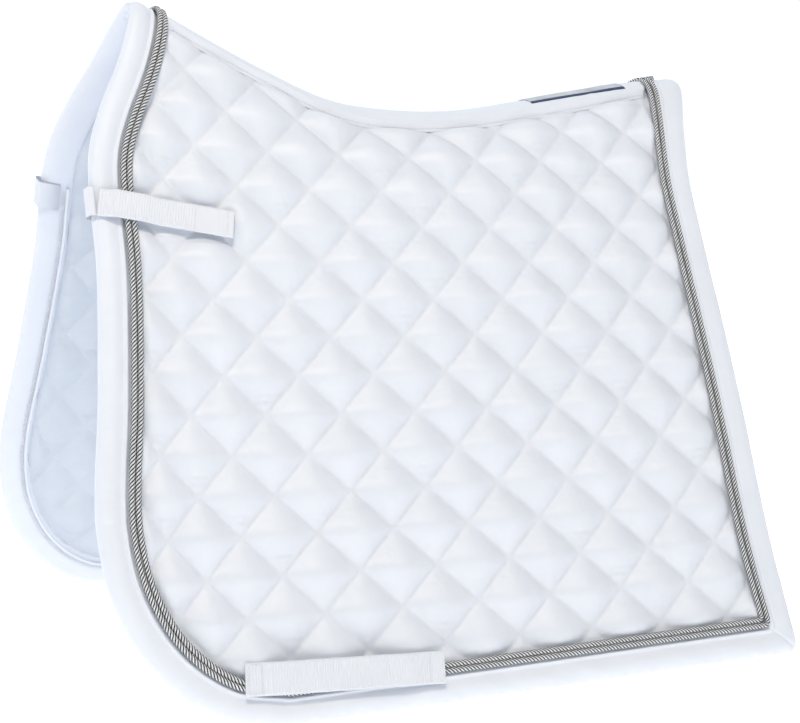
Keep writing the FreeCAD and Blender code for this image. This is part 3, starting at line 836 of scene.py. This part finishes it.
def trim_cord(name, side, which, inset, hand):
    """Silver strands laid round each other, with a fine near-black strand in each groove: partly the
    cord's own dark thread, partly painted shade in the grooves between the silver strands.
    """
    count = len(Edge.outer)
    index = np.linspace(0, count - 1, 6000)
    x, down = border_place(index, inset)
    kept = down > -ridge_length(x) + 0.05
    x, down = x[kept], down[kept]
    line = sheet_points(side, x, down, CORD_OFFSET)
    run = run_along(line)
    places = np.arange(0.0, run[-1], 0.9)
    x, down = np.interp(places, run, x), np.interp(places, run, down)
    wobble = 0.12 * smooth_noise(places, 23.0, 71 + side)
    line = sheet_points(side, x, down, CORD_OFFSET + wobble)
    out = unit(sheet_points(side, x, down, CORD_OFFSET + 1.0) - line)
    across = np.cross(unit(np.gradient(line, axis=0)), out)
    verts, faces, shine = [], [], []
    turn = hand * math.tau * (places / LAY)
    for strand in range(2 * STRANDS):
        thin = strand % 2
        angle = turn + math.tau * strand / (2 * STRANDS)
        reach = (CORD_RADIUS - 0.36 if thin else CORD_RADIUS - 0.93) * M
        radial = np.cos(angle)[:, None] * out + np.sin(angle)[:, None] * across
        sides_count = 5 if thin else 7
        ring = tube_along(line + radial * reach, (0.5 if thin else 0.93) * M, sides_count, radial)
        faces_here = grid_faces(len(places), sides_count, close_columns=True)
        faces.append(faces_here + sum(len(v) for v in verts))
        verts.append(ring)
        shine.append(np.full(len(faces_here), thin, dtype=np.int32))
    piece = make_mesh(name + "_trim_" + which, np.vstack(verts), np.vstack(faces), flip=side > 0)
    dress(piece, [silver_thread, dark_thread_groove_shade])
    piece.data.polygons.foreach_set("material_index", np.concatenate(shine))
    fold_blend(piece)
    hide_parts(*(f"{name}_{part}_cord_{which}" for part in ("trim", "withers", "croup")))


# ---- Webbing ----
STRAP_WIDTH, STRAP_TURN, STRAP_LENGTH = 22.0, math.radians(10.8), 110.0
STRAP_EDGE_X, STRAP_DOWN, STRAP_HINGE = -314.3, 14.5, 4.2
STRAP_SLOPE = 0.19
LOOP_WIDTH, LOOP_LENGTH, LOOP_TURN = 25.0, 157.0, math.radians(3.0)
LOOP_X, LOOP_DOWN = -158.0, 385.0
WEBBING = 1.2
RIB = 2.1                               # spacing of the ribs across the webbing


def ribbon(name, side, place, profile, width, ribs, end_skew=0.0, seed=0):
    """Ribbed webbing. place gives x and down from a length and a distance across; profile is
    the height of its lower face against the length."""
    lengths = np.arange(profile[0][0], profile[-1][0] + 0.01, RIB / 5)
    lower = np.interp(lengths, *zip(*profile))
    kernel = np.ones(9) / 9
    padded = np.concatenate([np.full(4, lower[0]), lower, np.full(4, lower[-1])])
    lower = np.convolve(padded, kernel, mode="valid")
    across = np.linspace(-width / 2, width / 2, 17)
    wave = ribs(lengths) * 0.27 * np.cos(math.tau * lengths / RIB)
    edge = np.clip((width / 2 - np.abs(across)) / 0.9, 0.0, 1.0)
    skewed = lengths[:, None] + end_skew * across[None, :]
    x, down = place(skewed, across[None, :] + 0.12 * smooth_noise(lengths, 9.0, seed)[:, None])
    body = lower[:, None] + 0.25 * smooth_noise(lengths, 40.0, seed + 1)[:, None]
    selvedge = 0.22 * np.exp(-((np.abs(across) - width / 2 + 1.2) / 0.5) ** 2)
    upper = body + WEBBING * (0.55 + 0.45 * edge) + wave[:, None] * edge + selvedge
    under = body + WEBBING * 0.4 * (1 - edge) + 0.5 * wave[:, None] * edge
    top, bottom = sheet_points(side, x, down, upper), sheet_points(side, x, down, under)
    piece = closed_strip(name, top, bottom, lengths[:, None], across[None, :], flip=side > 0)[0]
    return dress(piece, webbing_cloth)


def webbing_place(x, down, turn):
    """x and down of webbing that starts at a place, by the length along it and across it."""
    def place(length, across):
        return (x + length * math.cos(turn) - across * math.sin(turn),
                down + length * math.sin(turn) + across * math.cos(turn))
    return place


strap_place = webbing_place(STRAP_EDGE_X, STRAP_DOWN, STRAP_TURN)
loop_place = webbing_place(LOOP_X, LOOP_DOWN, LOOP_TURN)


def webbing_stitches(name, side, body, place, corners, height, pitch=2.6):
    """A row of machine stitches through webbing, along the corners' lines."""
    xs, downs = [], []
    for (a0, b0), (a1, b1) in zip(corners, corners[1:]):
        steps = np.linspace(0, 1, max(2, int(math.hypot(a1 - a0, b1 - b0) / 1.0)))
        x, down = place(a0 + (a1 - a0) * steps, b0 + (b1 - b0) * steps)
        xs.append(x)
        downs.append(down)
    piece = seam_stitches(name, side, np.concatenate(xs), np.concatenate(downs), height, pitch,
                          0.74, 0.3, white_thread)
    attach(piece, body)


def front_strap(name, side):
    """Strap with hook and loop, and the piece of it that is sewn round the front edge."""
    profile = [(STRAP_HINGE + 0.3, 6.9), (9.0, 7.1), (18.0, 11.4), (39.0, 11.4), (52.0, 8.3),
               (STRAP_LENGTH, 8.1)]
    strap = ribbon(name + "_front_strap_webbing", side, strap_place, profile, STRAP_WIDTH,
                   lambda a: np.clip((80 - a) / 4, 0.25, 1), seed=80 + side)
    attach(strap, name + "_front_strap")
    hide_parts(name + "_strap_webbing")
    for number, a in enumerate((STRAP_LENGTH - 5.0, STRAP_LENGTH - 31.0)):
        webbing_stitches(f"{name}_strap_stitches_{number}", side, name + "_front_strap", strap_place,
                         [(a, -9.5), (a, 9.5)], 9.55)
    square = lambda length, across: (STRAP_EDGE_X + length * math.cos(STRAP_TURN),
                                     STRAP_DOWN + across + length * math.sin(STRAP_TURN))
    low, high, tuck = 5.6, 6.85, 16.0
    slot = STRAP_WIDTH / math.cos(STRAP_TURN)
    outer = [(2.7, high), (0.6, high + 0.05), (-0.9, high - 0.3), (-1.9, high - 1.4),
             (-2.3, 4.0), (-2.4, 0.0), (-2.3, -4.0), (-1.9, -high + 1.4), (-0.9, -high + 0.3),
             (0.6, -high - 0.05), (tuck, -high)]
    inner = [(2.7, low), (0.8, low + 0.05), (-0.2, low - 0.4), (-0.8, low - 1.6), (-1.0, 3.2),
             (-1.05, 0.0), (-1.0, -3.2), (-0.8, -low + 1.6), (-0.2, -low + 0.4),
             (0.8, -low - 0.05), (tuck, -low)]
    across = np.linspace(-slot / 2, slot / 2, 15)
    section = outer + inner[::-1]
    a = np.array([s[0] for s in section])[:, None] + 0 * across[None, :]
    h = np.array([s[1] for s in section])[:, None] + 0.06 * np.cos(across * 9.0)[None, :]
    x, down = square(a, across[None, :])
    points = sheet_points(side, x, down, h)
    count = len(section)
    faces = grid_faces(count, len(across), close_rows=True)
    uv = np.stack([a, np.broadcast_to(across, a.shape)], axis=-1).reshape(-1, 2) * M
    anchor = make_mesh(name + "_strap_wrap", points.reshape(-1, 3), faces, uv, flip=side < 0)
    dress(anchor, webbing_cloth)
    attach(anchor, name + "_flap")
    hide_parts(name + "_strap_anchor")


def girth_loop(name, side):
    """Webbing loop over the hem, sewn down at both ends."""
    half = LOOP_LENGTH / 2
    profile = [(-half, 11.15), (-0.41 * LOOP_LENGTH, 11.15), (-0.33 * LOOP_LENGTH, 13.2),
               (0.33 * LOOP_LENGTH, 13.2), (0.41 * LOOP_LENGTH, 11.15), (half, 11.15)]
    loop = ribbon(name + "_girth_loop_webbing", side, loop_place, profile, LOOP_WIDTH,
                  lambda a: np.ones(a.shape), seed=90 + side)
    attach(loop, name + "_flap")
    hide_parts(name + "_girth_loop")
    for number, end in enumerate((-1, 1)):
        a, b = end * (half - 2.5), end * (half - 12.5)
        webbing_stitches(f"{name}_loop_stitches_{number}", side, name + "_flap", loop_place,
                         [(a, -10.5), (a, 10.5), (b, 10.5), (b, -10.5), (a, -10.5)], 12.55)


# ---- Spine tapes, label, piping ----
LABEL_X, LABEL_REACH = (104.0, 204.0), 12.0
PIPING_INSET, PIPING_OFFSET = 22.0, -6.2


def end_curve(first, last, inset):
    """x of an end of the pad, against the length below the ridge, at an inset from the edge."""
    x, down = border_place(np.arange(first, last), inset)
    below = down + ridge_length(x)
    order = np.argsort(below)
    return lambda length: np.interp(length, below[order], x[order])


def over_ridge(x, across, offset):
    """Points of the cap by the length across from the ridge, positive to the near side."""
    points = sheet_points(1, x, np.abs(across) - ridge_length(x), offset)
    points[..., 1] *= -np.sign(across)
    return points


def spine_tape(name, node_name, low, high, reach, outward, material):
    """Tape over the ridge, sewn down along both edges, with slightly waved edges."""
    columns = 41
    share = np.linspace(-1, 1, columns)
    rows = 220
    t = np.linspace(0, 1, rows)[:, None]
    edge = np.abs(share)[None, :]
    inset = BORDER + 4.9 if outward > 0 else 2.0
    count = len(Edge.outer)
    deepest = float(reach(TIP[0]))
    x_front = end_curve(0, 60, inset)(edge * deepest)
    x_rear = end_curve(count - 40, count, inset)(edge * float(reach(REAR_TIP[0])))
    x = x_front + (x_rear - x_front) * t
    below = np.abs(share)[None, :] * (reach(x) + 0.5 * smooth_noise(x, 14.0, 77))
    side = np.where(share < 0, -1, 1)[None, :]
    puckers = 0.3 * smooth_noise(x + 2 * below, 5.0, 78) * np.clip(edge * 1.3 - 0.2, 0, 1)
    seam = np.exp(-((below - reach(x) + 2.6) / 0.9) ** 2) * 0.5
    from_edge = reach(x) - below
    rise = np.clip(from_edge / 8.0, 0.0, 1.0)
    middle = low - 3.4 + (high - low + 3.4) * rise * rise * (3 - 2 * rise)
    top = middle + puckers - seam + 0.3 * np.sin(edge * math.pi)
    bottom = top - 0.5 - (high - low - 0.5) * np.clip(from_edge / 0.8, 0.0, 1.0)
    layers = [over_ridge(x, below * side, outward * height) for height in (top, bottom)]
    piece = closed_strip(name, *layers, x, share[None, :] * 30)[0]
    dress(piece, material)
    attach(piece, "spine_ridge")
    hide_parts(node_name)
    for side_name, side in SIDES:
        line = np.linspace(x[0].max() + 1.0, x[-1].min() - 1.0, 400)
        stitches = seam_stitches(f"{name}_stitches_{side_name}", side, line,
                                 reach(line) - 2.6 - ridge_length(line),
                                 outward * (low - 1.9), 3.4, 0.76, 0.3, white_thread)
        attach(stitches, "spine_ridge")


def blank_label():
    """Woven tab over the ridge with no lettering: a silver field between two navy edges."""
    rows, columns = 120, 33
    x = np.linspace(*LABEL_X, rows)[:, None]
    across = np.linspace(-LABEL_REACH, LABEL_REACH, columns)[None, :]
    x, across = np.broadcast_arrays(x, across)
    bow = 0.22 * smooth_noise(x, 17.0, 88)
    edge = np.minimum(np.minimum(x - LABEL_X[0], LABEL_X[1] - x), LABEL_REACH - np.abs(across))
    stitched = 0.16 * smooth_noise(x + 3 * across, 0.9, 89) * (np.abs(across) < LABEL_REACH - 3.4)
    top = 7.0 + 0.75 * (0.3 + 0.7 * np.clip(edge / 1.0, 0, 1)) + bow + stitched
    across = np.where(across == 0, 1e-6, across)
    layers = [over_ridge(x, across, h) for h in (top, np.full(x.shape, 6.95))]
    piece, faces, uv = closed_strip("spine_tab", *layers, x, across)
    middle = np.abs(uv[faces].mean(axis=1)[:, 1] / M) < LABEL_REACH - 3.0
    dress(piece, [label_cloth, label_field])
    piece.data.polygons.foreach_set("material_index", np.append(middle, [0, 0]).astype(np.int32))
    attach(piece, "spine_ridge")
    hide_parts("spine_label")


def inside_trim(name, side):
    """Piping along the border's inside seam, and the overlock stitches beside it."""
    index = np.linspace(0, len(Edge.outer) - 1, 4000)
    x, down = border_place(index, PIPING_INSET)
    kept = down > 9.0
    x, down = x[kept], down[kept]
    line = sheet_points(side, x, down, PIPING_OFFSET)
    run = run_along(line)
    places = np.arange(0.0, run[-1], 1.6)
    x, down = np.interp(places, run, x), np.interp(places, run, down)
    line = sheet_points(side, x, down, PIPING_OFFSET + 0.15 * smooth_noise(places, 12.0, 95))
    out = sheet_points(side, x, down, PIPING_OFFSET - 1.0) - line
    verts = tube_along(line, 1.35 * M, 10, out)
    faces = grid_faces(len(places), 10, close_columns=True)
    uv = np.stack(np.broadcast_arrays(places[:, None], np.arange(10)[None, :] * 0.8),
                  axis=-1).reshape(-1, 2) * M
    piping = make_mesh(name + "_inside_piping", verts, faces, uv, flip=side > 0)
    dress(piping, binding_cloth)
    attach(piping, name + "_flap")
    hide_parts(name + "_hem_piping")
    index = np.linspace(0, len(Edge.outer) - 1, 5200)
    kept = border_place(index, 19.0)[1] > 12.0
    index = index[kept]
    x, down = border_place(index, 19.0)
    line = sheet_points(side, x, down, -5.3)
    run = run_along(line)
    marks = np.arange(0.0, run[-1], 2.4)
    at = np.interp(marks, run, index)
    starts = sheet_points(side, *border_place(at, 16.4), -5.75)
    ends = sheet_points(side, *border_place(np.interp(marks + 1.1, run, index), 20.4), -5.6)
    out = unit(sheet_points(side, *border_place(at, 16.4), -6.75) - starts)
    overlock = stitch_mesh(name + "_overlock", starts, ends, out, 0.33 * M, white_thread)
    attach(overlock, name + "_flap")


for side_name, side in SIDES:
    quilted_panel(side_name, side)
    quilt_stitches(side_name, side)
    padded_border(side_name, side)
    trim_cord(side_name, side, "outer", BORDER - CORD_PITCH / 2, 1)
    trim_cord(side_name, side, "inner", BORDER + CORD_PITCH / 2, 1)
    front_strap(side_name, side)
    girth_loop(side_name, side)
    inside_trim(side_name, side)
    for patch in ("strap_hook_patch", "strap_loop_patch"):
        patch_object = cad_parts[side_name + "_" + patch]
        for material_slot in patch_object.material_slots:
            material_slot.material = fastener
spine_tape("spine_cover_tape", "spine_binding", 5.2, 6.9, binding_reach, 1, binding_cloth)
spine_tape("spine_inside_tape", "spine_lining_tape", 5.2, 6.7,
           lambda x: 20.0 + 0 * np.asarray(x), -1, binding_cloth)
blank_label()

# ---- Stage, light and camera ----
floor_level = -0.62
floor = make_mesh("floor", [(-9, -9, floor_level), (9, -9, floor_level), (9, 9, floor_level),
                            (-9, 9, floor_level)], [(0, 1, 2, 3)])
floor_material, _, floor_shader = new_material("floor_white")
floor_shader.inputs["Base Color"].default_value = (0.98, 0.98, 0.98, 1.0)
floor_shader.inputs["Roughness"].default_value = 0.9
floor_shader.inputs["Emission Color"].default_value = (1.0, 1.0, 1.0, 1.0)
floor_shader.inputs["Emission Strength"].default_value = 0.5
floor.data.materials.append(floor_material)


def soft_light(name, place, aim, size, power, colour=(1.0, 1.0, 1.0)):
    data = bpy.data.lights.new(name, "AREA")
    data.shape = "RECTANGLE"
    data.size, data.size_y = size
    data.energy = power
    data.color = colour
    light = bpy.data.objects.new(name, data)
    light.location = place
    light.rotation_mode = "QUATERNION"
    light.rotation_quaternion = (Vector(aim) - Vector(place)).to_track_quat("-Z", "Y")
    bpy.context.collection.objects.link(light)


soft_light("key", (-1.0, -1.5, 1.95), (0.0, -0.1, -0.2), (0.7, 0.4), 33.0, (1.0, 0.91, 0.76))
soft_light("front", (0.95, -1.95, 0.9), (0.0, -0.1, -0.2), (0.6, 0.25), 5.0, (1.0, 0.93, 0.82))
soft_light("top", (0.1, -0.4, 2.4), (0.0, -0.1, 0.0), (1.8, 1.2), 3.0, (0.92, 0.96, 1.0))

world = bpy.data.worlds.new("studio")
world.use_nodes = True
world_tree = world.node_tree
facing = node(world_tree, "ShaderNodeTexCoord")
parts = node(world_tree, "ShaderNodeSeparateXYZ")
backlight = node(world_tree, "ShaderNodeMapRange")
for socket, value in (("From Min", -0.2), ("From Max", 0.5), ("To Min", 0.35), ("To Max", 1.2)):
    backlight.inputs[socket].default_value = value
background = world_tree.nodes["Background"]
background.inputs["Color"].default_value = (0.86, 0.92, 1.0, 1.0)
world_tree.links.new(facing.outputs["Generated"], parts.inputs["Vector"])
world_tree.links.new(parts.outputs["Y"], backlight.inputs["Value"])
world_tree.links.new(backlight.outputs["Result"], background.inputs["Strength"])
bpy.context.scene.world = world

CAMERA_PLACE = Vector((-0.6588, -1.1927, 0.0292))
CAMERA_AZIMUTH, CAMERA_ELEVATION, CAMERA_ROLL = (math.radians(a) for a in (-28.414, 9.424, 1.617))
camera_data = bpy.data.cameras.new("camera")
camera_data.sensor_width = 36.0
camera_data.lens = 70.32
camera = bpy.data.objects.new("camera", camera_data)
back = Vector((math.sin(CAMERA_AZIMUTH) * math.cos(CAMERA_ELEVATION),
               -math.cos(CAMERA_AZIMUTH) * math.cos(CAMERA_ELEVATION),
               math.sin(CAMERA_ELEVATION)))
level = Vector((math.cos(CAMERA_AZIMUTH), math.sin(CAMERA_AZIMUTH), 0.0))
upright = back.cross(level)
right = level * math.cos(CAMERA_ROLL) + upright * math.sin(CAMERA_ROLL)
up = upright * math.cos(CAMERA_ROLL) - level * math.sin(CAMERA_ROLL)
camera.matrix_world = Matrix.Translation(CAMERA_PLACE) @ Matrix((right, up, back)).transposed().to_4x4()
bpy.context.collection.objects.link(camera)
bpy.context.scene.camera = camera
bpy.context.scene.view_settings.view_transform = "Standard"
